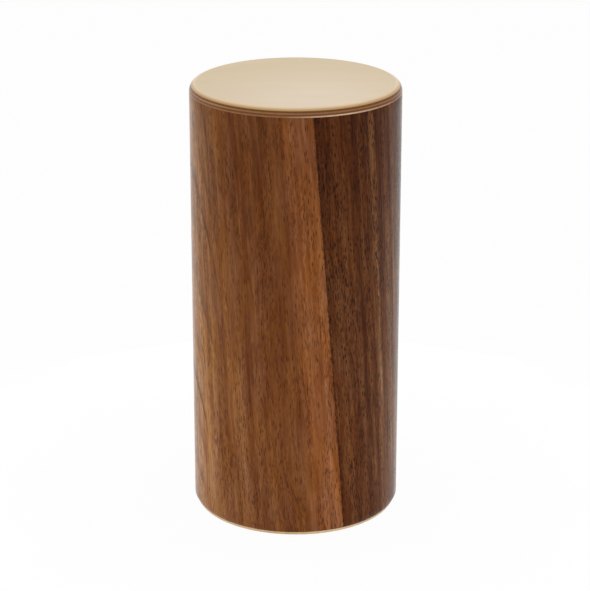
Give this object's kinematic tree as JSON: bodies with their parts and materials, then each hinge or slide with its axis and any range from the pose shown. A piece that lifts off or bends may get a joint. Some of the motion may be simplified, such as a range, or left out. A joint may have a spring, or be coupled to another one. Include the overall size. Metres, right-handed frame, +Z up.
{
  "type": "percussion shaker",
  "caption": "Hand-held cylindrical percussion shaker: walnut-veneered ply tube with a rounded plywood lid, an inset plywood base and loose shot that flies between them.",
  "frame": {"origin": "centre of the flat foot of the tube, on the surface that the shaker stands on", "axes": "+Z up along the tube's axis, -Y the front that shows the seam of the walnut leaves, +X to its right"},
  "size_m": [0.06, 0.06, 0.1266],
  "materials": {
    "light_walnut": "satin lacquered walnut veneer, reddish brown with slanting streaks and fine pores",
    "dark_walnut": "satin lacquered walnut veneer, chocolate brown with fine upright pores",
    "pale_birch": "sanded pale birch ply, matt to satin",
    "brown_birch": "sanded cross-grain birch ply, brown at its edge",
    "lining_wood": "raw sanded ply",
    "steel_shot": "bright tumbled steel"
  },
  "bodies": {
    "shell": {"lid_face_ply": "pale_birch", "lid_outer_cross_ply": "brown_birch", "lid_core_ply": "pale_birch", "lid_inner_cross_ply": "brown_birch", "lid_back_ply": "pale_birch", "light_walnut_leaf": "light_walnut", "dark_walnut_leaf": "dark_walnut", "tube_cross_ply": "pale_birch", "tube_lining_ply": "lining_wood", "base_face_ply": "pale_birch", "base_outer_cross_ply": "brown_birch", "base_core_ply": "pale_birch", "base_inner_cross_ply": "brown_birch", "base_back_ply": "pale_birch"},
    "shot_portion_1": {"shot_portion_1": "steel_shot"},
    "shot_portion_2": {"shot_portion_2": "steel_shot"},
    "shot_portion_3": {"shot_portion_3": "steel_shot"},
    "shot_portion_4": {"shot_portion_4": "steel_shot"},
    "shot_portion_5": {"shot_portion_5": "steel_shot"},
    "shot_portion_6": {"shot_portion_6": "steel_shot"}
  },
  "joints": [
    {"name": "shot_flight_1", "type": "slide", "parent": "shell", "child": "shot_portion_1", "axis": [0, 0, 1], "range_m": [0, 0.118]},
    {"name": "shot_flight_2", "type": "slide", "parent": "shell", "child": "shot_portion_2", "axis": [0, 0, 1], "range_m": [0, 0.118]},
    {"name": "shot_flight_3", "type": "slide", "parent": "shell", "child": "shot_portion_3", "axis": [0, 0, 1], "range_m": [0, 0.118]},
    {"name": "shot_flight_4", "type": "slide", "parent": "shell", "child": "shot_portion_4", "axis": [0, 0, 1], "range_m": [0, 0.118]},
    {"name": "shot_flight_5", "type": "slide", "parent": "shell", "child": "shot_portion_5", "axis": [0, 0, 1], "range_m": [0, 0.118]},
    {"name": "shot_flight_6", "type": "slide", "parent": "shell", "child": "shot_portion_6", "axis": [0, 0, 1], "range_m": [0, 0.118]}
  ]
}
